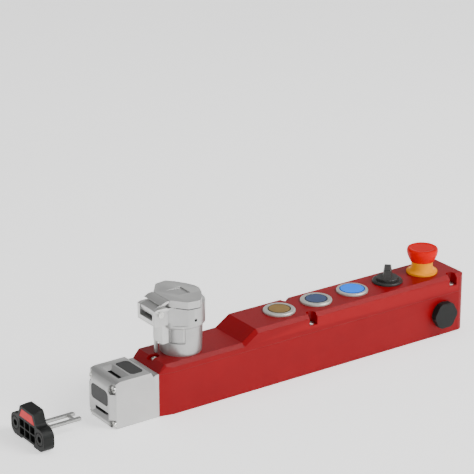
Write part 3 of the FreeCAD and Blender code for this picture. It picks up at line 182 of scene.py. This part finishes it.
# Blasting grit, brush lines and tool marks are about 0.1 mm on the real parts, too fine to show from the
# camera, so their grain is drawn at 0.3 to 0.5 mm.
looks = {
    "redPowderCoat": {      # satin powder coat: soft sheen broken by a fine orange peel
        "colour": "#7E040E", "shade": "#76030C", "edge": "#900A14", "patchMm": 26, "roughness": 0.4,
        "roughSpread": 0.05, "grainMm": 0.8, "grainDepthMm": 0.05,
        "shader": {"IOR": 1.5, "Specular IOR Level": 0.12}},
    "redSealStrip": {       # dark red silicone gasket, a thin matt line under the lid
        "colour": "#7A0A0E", "shade": "#6E090C", "patchMm": 10, "roughness": 0.6,
        "roughSpread": 0.05, "grainMm": 0.6, "grainDepthMm": 0.02, "shader": {"IOR": 1.41}},
    "blastedZinc": {        # bead-blasted die-cast zinc: pale grey, soft and grainy to the light
        "colour": "#B2B2B1", "shade": "#A7A7A6", "edge": "#D2D2D0", "patchMm": 14, "roughness": 0.34,
        "roughSpread": 0.05, "grainMm": 0.5, "grainDepthMm": 0.05, "shader": {"Metallic": 0.8}},
    "platedSteel": {        # zinc-plated turned steel: bright with fine tool marks
        "colour": "#DEDEDA", "shade": "#C4C4C0", "patchMm": 4, "roughness": 0.25,
        "roughSpread": 0.08, "grainMm": 0.3, "grainDepthMm": 0.02, "shader": {"Metallic": 1}},
    "stampedStainless": {   # brushed stainless tongue: lines along its length
        "colour": "#A4A4A2", "shade": "#929290", "patchMm": 8, "roughness": 0.3,
        "roughSpread": 0.08, "grainMm": 0.4, "grainDepthMm": 0.02, "stretch": (0.06, 1, 1),
        "shader": {"Metallic": 0.9}},
    "greyNylonInsert": {    # matt grey nylon with a spark-eroded face
        "colour": "#282828", "shade": "#222222", "patchMm": 6, "roughness": 0.55,
        "roughSpread": 0.06, "grainMm": 0.35, "grainDepthMm": 0.04, "shader": {"IOR": 1.53}},
    "blackRubberAndGapShade": {      # black seal rubber, dull; also used as painted shade in the gaps under the cap and round the lenses
        "colour": "#0B0B0B", "shade": "#121212", "patchMm": 5, "roughness": 0.7,
        "roughSpread": 0.08, "grainMm": 0.4, "grainDepthMm": 0.03, "shader": {"IOR": 1.52}},
    "satinBezel": {         # satin chrome ring, soft grey with no mirror in it
        "colour": "#C4C4BC", "shade": "#B2B2AC", "patchMm": 6, "roughness": 0.42,
        "roughSpread": 0.05, "grainMm": 0.3, "grainDepthMm": 0.015, "shader": {"Metallic": 0.6}},
    "amberLens": {          # unlit lens, dull amber with a moulded haze
        "colour": "#76591C", "shade": "#816426", "patchMm": 7, "roughness": 0.34,
        "roughSpread": 0.04, "grainMm": 0.5, "grainDepthMm": 0.02,
        "shader": {"IOR": 1.49, "Specular IOR Level": 0.25}},
    "slateLens": {          # unlit blue lens, darker than the lit one
        "colour": "#26395F", "shade": "#2D4168", "patchMm": 7, "roughness": 0.34,
        "roughSpread": 0.04, "grainMm": 0.5, "grainDepthMm": 0.02,
        "shader": {"IOR": 1.49, "Specular IOR Level": 0.25}},
    "litBlueLens": {        # lit lens: glows evenly through frosted plastic
        "colour": "#004CC4", "shade": "#0056CC", "patchMm": 7, "roughness": 0.34,
        "roughSpread": 0.04, "grainMm": 0.5, "grainDepthMm": 0.02,
        "shader": {"IOR": 1.49, "Specular IOR Level": 0.03, "Emission Color": hexColour("#008EFF"),
                   "Emission Strength": 0.65}},
    "redNylonMushroom": {   # moulded signal red, smooth with a soft sheen
        "colour": "#CC0002", "shade": "#C40002", "patchMm": 9, "roughness": 0.36,
        "roughSpread": 0.04, "grainMm": 0.6, "grainDepthMm": 0.02,
        "shader": {"IOR": 1.5, "Specular IOR Level": 0.05}},
    "yellowNylonCollar": {  # moulded warm yellow, smooth with a soft sheen
        "colour": "#EE9800", "shade": "#E48E00", "patchMm": 9, "roughness": 0.4,
        "roughSpread": 0.04, "grainMm": 0.6, "grainDepthMm": 0.02,
        "shader": {"IOR": 1.5, "Specular IOR Level": 0.05}},
    "redAcetalInsert": {    # smooth pinkish red acetal plug in the actuator
        "colour": "#CE101E", "shade": "#C40C1A", "patchMm": 6, "roughness": 0.35,
        "roughSpread": 0.04, "grainMm": 0.4, "grainDepthMm": 0.02,
        "shader": {"IOR": 1.48, "Specular IOR Level": 0.15}},
    "blackGlassNylon": {    # glass-filled black nylon: fine grain, dull sheen
        "colour": "#141514", "shade": "#0D0E0D", "edge": "#1E201F", "patchMm": 8, "roughness": 0.5,
        "roughSpread": 0.07, "grainMm": 0.45, "grainDepthMm": 0.05,
        "shader": {"IOR": 1.5, "Specular IOR Level": 0.2}},
    "blackKnobNylon": {     # the selector's smoother black nylon, a shade lighter
        "colour": "#2A2928", "shade": "#232221", "edge": "#343332", "patchMm": 6, "roughness": 0.45,
        "roughSpread": 0.05, "grainMm": 0.4, "grainDepthMm": 0.03,
        "shader": {"IOR": 1.5, "Specular IOR Level": 0.3}},
    "machinedAluminium": {  # plain milled metal inside, light grey and satin
        "colour": "#B6B6B6", "shade": "#A6A6A6", "patchMm": 8, "roughness": 0.4,
        "roughSpread": 0.06, "grainMm": 0.3, "grainDepthMm": 0.02, "shader": {"Metallic": 1}},
    "turnedBrass": {        # turned brass, warm and bright
        "colour": "#D9B264", "shade": "#C79F55", "patchMm": 5, "roughness": 0.27,
        "roughSpread": 0.05, "grainMm": 0.3, "grainDepthMm": 0.015, "shader": {"Metallic": 1}},
    "amberCoilTape": {      # polyester tape over the winding, amber and smooth
        "colour": "#B98A2E", "shade": "#A67A24", "patchMm": 6, "roughness": 0.35,
        "roughSpread": 0.05, "grainMm": 0.5, "grainDepthMm": 0.02, "shader": {"IOR": 1.55}},
    "greenSolderMask": {    # coated circuit board, green and slightly glossy
        "colour": "#1E5A34", "shade": "#184C2B", "patchMm": 9, "roughness": 0.35,
        "roughSpread": 0.05, "grainMm": 0.6, "grainDepthMm": 0.02, "shader": {"IOR": 1.5}},
}
finishes = {name: makeFinish(name, look) for name, look in looks.items()}
floorLook = {"colour": studio["floor"], "shade": studio["floorShade"], "patchMm": 400, "roughness": 0.7,
             "roughSpread": 0.02, "grainMm": 3, "grainDepthMm": 0.01,
             "shader": {"Emission Color": hexColour("#FFFFFF"), "Emission Strength": studio["floorGlow"]}}
floorMesh.materials.append(makeFinish("paleStudioPaper", floorLook))

finishOf = {
    "redPowderCoat": ["housing", "lid"],
    "redSealStrip": ["lid_gasket"],
    "blastedZinc": ["head_block", "lock_body", "lock_cap"],
    "platedSteel": ["lid_screws", "head_screws", "lock_pin", "cam_shaft", "hinge_pin", "operator_nuts",
                    "lock_nut", "cam_wheel", "solenoid_frame", "pin_spring"],
    "stampedStainless": ["tongue"],
    "greyNylonInsert": ["front_insert", "top_insert"],
    "blackRubberAndGapShade": ["conduit_seals"],
    "satinBezel": ["amber_bezel", "slate_bezel", "blue_bezel"],
    "amberLens": ["amber_button"],
    "slateLens": ["slate_button"],
    "litBlueLens": ["blue_button"],
    "redNylonMushroom": ["estop_head"],
    "yellowNylonCollar": ["estop_collar"],
    "redAcetalInsert": ["actuator_insert"],
    "blackGlassNylon": ["actuator_body", "conduit_plug_near", "conduit_plug_far", "contact_blocks",
                        "terminal_block", "switch_block", "estop_stem"],
    "blackKnobNylon": ["selector_knob", "selector_bezel"],
    "machinedAluminium": ["cam_carrier"],
    "turnedBrass": ["guide_bush", "key_barrel"],
    "amberCoilTape": ["solenoid_coil"],
    "greenSolderMask": ["circuit_board"],
}
finishOfNode = {node: name for name, listed in finishOf.items() for node in listed}


def coat(mesh, finish):
    mesh.materials.clear()
    mesh.materials.append(finishes[finish])


for node, finish in finishOfNode.items():
    coat(nodes[node].data, finish)
print("finishes are on", len(finishOfNode), "nodes")


def newPiece(name, mesh):
    piece = bpy.data.objects.new(name, mesh)
    bpy.context.collection.objects.link(piece)
    return piece


def plainMesh(piece):    # the evaluated shape as a mesh of its own, with no modifier left
    graph = bpy.context.evaluated_depsgraph_get()
    mesh = bpy.data.meshes.new_from_object(piece.evaluated_get(graph), depsgraph=graph)
    piece.modifiers.clear()
    piece.data = mesh


rounding = {"steps": 2, "loftSharpDeg": 30}


def roundEdges(piece, edgeMm, sharpDeg):     # a small round on each edge sharper than sharpDeg
    edge = piece.modifiers.new("edge", "BEVEL")
    edge.width = edgeMm * mm
    edge.segments = rounding["steps"]
    edge.limit_method = "ANGLE"
    edge.angle_limit = math.radians(sharpDeg)
    even = piece.modifiers.new("even", "WEIGHTED_NORMAL")
    even.keep_sharp = True
    plainMesh(piece)


# dressed copies: the outer solids with worn, rounded edges
dressed = {     # node: body, slot, edgeMm, sharpDeg
    "housing": ("switch", "red_coat", 0.3, 28),
    "lid": ("switch", "red_coat", 0.35, 22),
    "head_block": ("switch", "cast_head", 0.3, 28),
    "lock_body": ("switch", "cast_head", 0.3, 28),
    "lock_cap": ("cap", "cast_head", 0.3, 28),
    "front_insert": ("switch", "grey_insert", 0.2, 28),
    "top_insert": ("switch", "grey_insert", 0.2, 28),
    "tongue": ("actuator", "tongue_steel", 0.25, 28),
    "actuator_body": ("actuator", "black_plastic", 0.3, 28),
    "actuator_insert": ("actuator", "actuator_red", 0.2, 28),
    "amber_bezel": ("switch", "bezel_metal", 0.25, 28),
    "slate_bezel": ("switch", "bezel_metal", 0.25, 28),
    "blue_bezel": ("switch", "bezel_metal", 0.25, 28),
    "selector_bezel": ("switch", "black_plastic", 0.25, 28),
    "selector_knob": ("selector", "black_plastic", 0.3, 28),
    "estop_collar": ("switch", "estop_yellow", 0.25, 28),
    "conduit_plug_near": ("switch", "black_plastic", 0.3, 28),
    "conduit_plug_far": ("switch", "black_plastic", 0.3, 28),
}
merge = {"mergeMm": 0.002, "flatDeg": 0.4}     # what joins the loose triangles and their flat faces


def dressNode(node, body, slot, edgeMm, sharpDeg):
    mesh = nodes[node].data.copy()
    shape = bmesh.new()
    shape.from_mesh(mesh)
    bmesh.ops.remove_doubles(shape, verts=shape.verts, dist=merge["mergeMm"] * mm)
    bmesh.ops.dissolve_limit(shape, angle_limit=math.radians(merge["flatDeg"]), verts=shape.verts,
                             edges=shape.edges)
    shape.to_mesh(mesh)
    shape.free()
    for name in [layer.name for layer in mesh.attributes if layer.name == "custom_normal"]:
        mesh.attributes.remove(mesh.attributes[name])
    mesh.shade_smooth()
    piece = newPiece(node + "Dressed", mesh)
    roundEdges(piece, edgeMm, sharpDeg)
    coat(piece.data, finishOfNode[node])
    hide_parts(node)
    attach(piece, body)


for node, how in dressed.items():
    dressNode(node, *how)
print("dressed", len(dressed), "solids")


# cross-recess screws, one tree for the lid's and the head's; the ratios are shares of the head's own size
crossScrew = {"facets": 32, "shankFacets": 20, "domeRatio": 2.1, "slotMm": 0.75, "slotReach": 0.62,
              "slotDepth": 0.62, "cutterMm": 20, "spinSeed": 4}


def screwTree():
    tree = bpy.data.node_groups.new("crossScrews", "GeometryNodeTree")
    sockets = {}
    for name, kind in (("Places", "NodeSocketGeometry"), ("Head Radius", "NodeSocketFloat"),
                       ("Head Height", "NodeSocketFloat"), ("Shank Radius", "NodeSocketFloat"),
                       ("Shank Length", "NodeSocketFloat"), ("Slot Width", "NodeSocketFloat"),
                       ("Aim", "NodeSocketVector"), ("Finish", "NodeSocketMaterial")):
        sockets[name] = tree.interface.new_socket(name=name, in_out="INPUT", socket_type=kind).identifier
    tree.interface.new_socket(name="Screws", in_out="OUTPUT", socket_type="NodeSocketGeometry")
    given = addNode(tree, "NodeGroupInput").outputs

    def times(a, b):
        return addNode(tree, "ShaderNodeMath", {"operation": "MULTIPLY"}, {0: a, 1: b}).outputs[0]

    def minus(a, b):
        return addNode(tree, "ShaderNodeMath", {"operation": "SUBTRACT"}, {0: a, 1: b}).outputs[0]

    def up(z):
        return addNode(tree, "ShaderNodeCombineXYZ", None, {"Z": z}).outputs[0]

    # a low dome: a short cylinder cut to a ball, with its lower half taken off
    facets = crossScrew["facets"]
    rim = addNode(tree, "GeometryNodeMeshCylinder", None,
                  {"Vertices": facets, "Radius": given["Head Radius"],
                   "Depth": times(given["Head Height"], 2)})
    ballRadius = times(given["Head Radius"], crossScrew["domeRatio"])
    ball = addNode(tree, "GeometryNodeMeshUVSphere", None,
                   {"Segments": facets, "Rings": facets, "Radius": ballRadius})
    ballUp = addNode(tree, "GeometryNodeTransform", None,
                     {"Geometry": ball.outputs[0],
                      "Translation": up(minus(given["Head Height"], ballRadius))})
    cap = addNode(tree, "GeometryNodeMeshBoolean", {"operation": "INTERSECT", "solver": "EXACT"})
    tree.links.new(rim.outputs[0], cap.inputs[1])
    tree.links.new(ballUp.outputs[0], cap.inputs[1])
    cutter = crossScrew["cutterMm"] * mm
    foot = addNode(tree, "GeometryNodeMeshCube", None, {"Size": (cutter, cutter, cutter)})
    footDown = addNode(tree, "GeometryNodeTransform", None,
                       {"Geometry": foot.outputs[0], "Translation": (0, 0, -cutter / 2)})

    # two arms cut the cross
    reach = times(given["Head Radius"], 2 * crossScrew["slotReach"])
    deep = times(given["Head Height"], 2 * crossScrew["slotDepth"])
    armSize = addNode(tree, "ShaderNodeCombineXYZ", None,
                      {"X": reach, "Y": given["Slot Width"], "Z": deep})
    arm = addNode(tree, "GeometryNodeMeshCube", None, {"Size": armSize.outputs[0]})
    armUp = addNode(tree, "GeometryNodeTransform", None,
                    {"Geometry": arm.outputs[0], "Translation": up(given["Head Height"])})
    otherArm = addNode(tree, "GeometryNodeTransform", None,
                       {"Geometry": armUp.outputs[0], "Rotation": (0, 0, math.pi / 2)})
    head = addNode(tree, "GeometryNodeMeshBoolean", {"operation": "DIFFERENCE", "solver": "EXACT"},
                   {0: cap.outputs[0]})
    for tool in (footDown, armUp, otherArm):
        tree.links.new(tool.outputs[0], head.inputs[1])

    shank = addNode(tree, "GeometryNodeMeshCylinder", None,
                    {"Vertices": crossScrew["shankFacets"], "Radius": given["Shank Radius"],
                     "Depth": given["Shank Length"]})
    shankDown = addNode(tree, "GeometryNodeTransform", None,
                        {"Geometry": shank.outputs[0],
                         "Translation": up(times(given["Shank Length"], -0.5))})
    whole = addNode(tree, "GeometryNodeJoinGeometry")
    tree.links.new(head.outputs[0], whole.inputs[0])
    tree.links.new(shankDown.outputs[0], whole.inputs[0])

    # one at each place, each turned by chance as a driver leaves it
    spots = addNode(tree, "GeometryNodeInstanceOnPoints", None,
                    {"Points": given["Places"], "Instance": whole.outputs[0], "Rotation": given["Aim"]})
    chance = addNode(tree, "FunctionNodeRandomValue", {"data_type": "FLOAT"},
                     {2: 0.0, 3: math.pi / 2, "Seed": crossScrew["spinSeed"]})
    turnAngle = addNode(tree, "ShaderNodeCombineXYZ", None, {"Z": chance.outputs[1]})
    turned = addNode(tree, "GeometryNodeRotateInstances", None,
                     {"Instances": spots.outputs[0], "Rotation": turnAngle.outputs[0]})
    real = addNode(tree, "GeometryNodeRealizeInstances", None, {"Geometry": turned.outputs[0]})
    flat = addNode(tree, "GeometryNodeSetShadeSmooth", None,
                   {"Geometry": real.outputs[0], "Shade Smooth": False})
    coated = addNode(tree, "GeometryNodeSetMaterial", None,
                     {"Geometry": flat.outputs[0], "Material": given["Finish"]})
    addNode(tree, "NodeGroupOutput", None, {0: coated.outputs[0]})
    return tree, sockets


# headMm and shankMm are a radius and a length; nose, rows, seat and face say where a head's underside sits
lidScrew = {"headMm": (3.2, 2.0), "shankMm": (1.75, 11.8), "aim": (0, 0, 0),
            "nose": (-0.15635, 0, 0.0430), "rowsX": (-0.00745, 0.15055), "seatZ": 0.0452}
headScrew = {"headMm": (3.0, 1.8), "shankMm": (1.75, 48.8), "aim": (0, -math.pi / 2, 0),
             "faceX": -0.20735, "rowsZ": (0.0036, 0.0352)}
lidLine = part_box("lid_screws")[1][1] - lidScrew["headMm"][0] * mm      # from the middle to a screw's axis
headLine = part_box("head_screws")[1][1] - headScrew["headMm"][0] * mm
lidScrew["places"] = [lidScrew["nose"]] + [(x, sign * lidLine, lidScrew["seatZ"])
                                           for x in lidScrew["rowsX"] for sign in (-1, 1)]
headScrew["places"] = [(headScrew["faceX"], sign * headLine, z)
                       for z in headScrew["rowsZ"] for sign in (-1, 1)]
screws, screwSockets = screwTree()
for node, kit in (("lid_screws", lidScrew), ("head_screws", headScrew)):
    spotMesh = bpy.data.meshes.new(node + "Spots")
    spotMesh.from_pydata(kit["places"], [], [])
    piece = newPiece(node + "Crossed", spotMesh)
    maker = piece.modifiers.new("screws", "NODES")
    maker.node_group = screws
    values = {"Head Radius": kit["headMm"][0] * mm, "Head Height": kit["headMm"][1] * mm,
              "Shank Radius": kit["shankMm"][0] * mm, "Shank Length": kit["shankMm"][1] * mm,
              "Slot Width": crossScrew["slotMm"] * mm, "Aim": kit["aim"],
              "Finish": finishes["platedSteel"]}
    for name, value in values.items():
        maker[screwSockets[name]] = value
    plainMesh(piece)
    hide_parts(node)
    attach(piece, "switch")
    print(node, "made with", len(piece.data.polygons), "faces")


# small added parts, lofted through rings of points; all their sizes and places are in mm
def roundRect(halfA, halfB, radius, steps=4):
    points = []
    for a, b, start in ((1, 1, 0), (-1, 1, 90), (-1, -1, 180), (1, -1, 270)):
        for step in range(steps + 1):
            angle = math.radians(start + 90 * step / steps)
            points.append((a * (halfA - radius) + radius * math.cos(angle),
                           b * (halfB - radius) + radius * math.sin(angle)))
    return points


def circlePoints(count):     # round a circle of radius 1
    angles = [math.radians(i * 360 / count) for i in range(count)]
    return [(math.cos(angle), math.sin(angle)) for angle in angles]


def loftPiece(name, sections, look):     # look: finish, slot, body, edgeMm and hollow
    shape = bmesh.new()
    rings = [[shape.verts.new([value * mm for value in point]) for point in section]
             for section in sections]
    hollow = look.get("hollow", False)
    for ring, following in zip(rings, rings[1:] + (rings[:1] if hollow else [])):
        for i in range(len(ring)):
            j = (i + 1) % len(ring)
            shape.faces.new((ring[i], ring[j], following[j], following[i]))
    if not hollow:
        shape.faces.new(rings[0])
        shape.faces.new(rings[-1])
    bmesh.ops.recalc_face_normals(shape, faces=shape.faces)
    mesh = bpy.data.meshes.new(name)
    shape.to_mesh(mesh)
    shape.free()
    mesh.shade_smooth()
    piece = newPiece(name, mesh)
    roundEdges(piece, look["edgeMm"], rounding["loftSharpDeg"])
    coat(piece.data, look["finish"])
    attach(piece, look["body"])


# rubber lips round the two tongue slots; outer and inner are half width, half height and corner radius
lip = {"finish": "blackRubberAndGapShade", "slot": "seal_rubber", "body": "switch", "edgeMm": 0.12, "hollow": True,
       "outer": (8.5, 1.9, 0.9), "inner": (7.75, 1.5, 0.5),
       "frontX": (-206.6, -209.9), "frontZ": {"outer": 11.22, "inner": 11.5},
       "topX": -196.2, "topZ": (37.7, 39.6)}
backX, faceX = lip["frontX"]
loftPiece("frontSlotLip", [
    [(x, a, b + lip["frontZ"][side]) for a, b in roundRect(*lip[side])]
    for x, side in ((backX, "outer"), (faceX, "outer"), (faceX, "inner"), (backX, "inner"))], lip)
lowZ, highZ = lip["topZ"]
loftPiece("topSlotLip", [
    [(b + lip["topX"], a, z) for a, b in roundRect(*lip[side])]
    for z, side in ((lowZ, "outer"), (highZ, "outer"), (highZ, "inner"), (lowZ, "inner"))], lip)

# hinge end of the lock's cap: a sloped shoulder over the lugs, its side drawn as x and z
shoulder = {"finish": "blastedZinc", "slot": "cast_head", "body": "cap", "edgeMm": 0.35, "halfWidth": 12.9,
            "side": [(-149.5, 98.4), (-153.4, 97.9), (-157.6, 96.1), (-157.8, 95.75), (-153.2, 95.9),
                     (-149.5, 96.9)]}
loftPiece("capShoulder", [[(x, sign * shoulder["halfWidth"], z) for x, z in shoulder["side"]]
                          for sign in (-1, 1)], shoulder)

# black strips under the cap's two wings, painted shade for the shadowed gap under the cap's rim; drawn from
# the lock's axis at middleX
capGapShade = {"finish": "blackRubberAndGapShade", "slot": "seal_rubber", "body": "cap", "edgeMm": 0.15,
         "middleX": -129.95, "z": (91.5, 92.45),
         "line": [(-15.2, 16.6), (-8.5, 25.0), (2.2, 26.4), (7.6, 20.8), (6.6, 20.2), (0.5, 21.3),
                  (-8.0, 19.8), (-13.6, 16.4)]}
for name, sign in (("capGapShadeNear", -1), ("capGapShadeFar", 1)):
    loftPiece(name, [[(x + capGapShade["middleX"], sign * y, z) for x, y in capGapShade["line"]]
                     for z in capGapShade["z"]], capGapShade)

# the cast foot under the lock's front rib; levels are a height and the share of its full size there
castFoot = {"finish": "blastedZinc", "slot": "cast_head", "body": "switch", "edgeMm": 0.3,
            "place": (-151.8, 5), "half": (1.3, 1.5), "corner": 0.6,
            "levels": ((46.3, 0.8), (48, 0.95), (58.6, 1))}
loftPiece("lockFoot", [
    [(a + castFoot["place"][0], b + castFoot["place"][1], z)
     for a, b in roundRect(castFoot["half"][0] * share, castFoot["half"][1] * share, castFoot["corner"])]
    for z, share in castFoot["levels"]], castFoot)

# set screw in the lock's collar, a round plug with a round socket; rings are a radius and how far out it is
setScrew = {"finish": "blackGlassNylon", "slot": "black_plastic", "body": "switch", "edgeMm": 0.08,
            "place": (-128.35, -20.72), "z": 78.8, "turnDeg": -85.8, "points": 24,
            "rings": ((1.3, -0.5), (1.35, 0.1), (1.05, 0.25), (0.75, 0.25), (0.7, -0.45))}
turn = math.radians(setScrew["turnDeg"])
loftPiece("collarSetScrew", [
    [(setScrew["place"][0] + out * math.cos(turn) - radius * a * math.sin(turn),
      setScrew["place"][1] + out * math.sin(turn) + radius * a * math.cos(turn),
      setScrew["z"] + radius * b) for a, b in circlePoints(setScrew["points"])]
    for radius, out in setScrew["rings"]], setScrew)

# dark rims round the three lenses, painted shade for the shadowed gap between each lens and its bezel;
# levels are how far inside the lens's radius, and a height
lensGapShade = {"finish": "blackRubberAndGapShade", "slot": "seal_rubber", "edgeMm": 0.04, "hollow": True, "points": 72,
           "levels": ((0.85, 57.6), (0.7, 58.16), (0.1, 58.16), (0.05, 57.6)),
           "lenses": {"amber": (-27.55, 10), "slate": (12.45, 10), "blue": (52.45, 11.3)}}
for body, (x, radius) in lensGapShade["lenses"].items():
    loftPiece(body + "LensGapShade", [[(x + (radius - inside) * a, (radius - inside) * b, z)
                                  for a, b in circlePoints(lensGapShade["points"])]
                                 for inside, z in lensGapShade["levels"]], {**lensGapShade, "body": body})
print("small added parts are on")
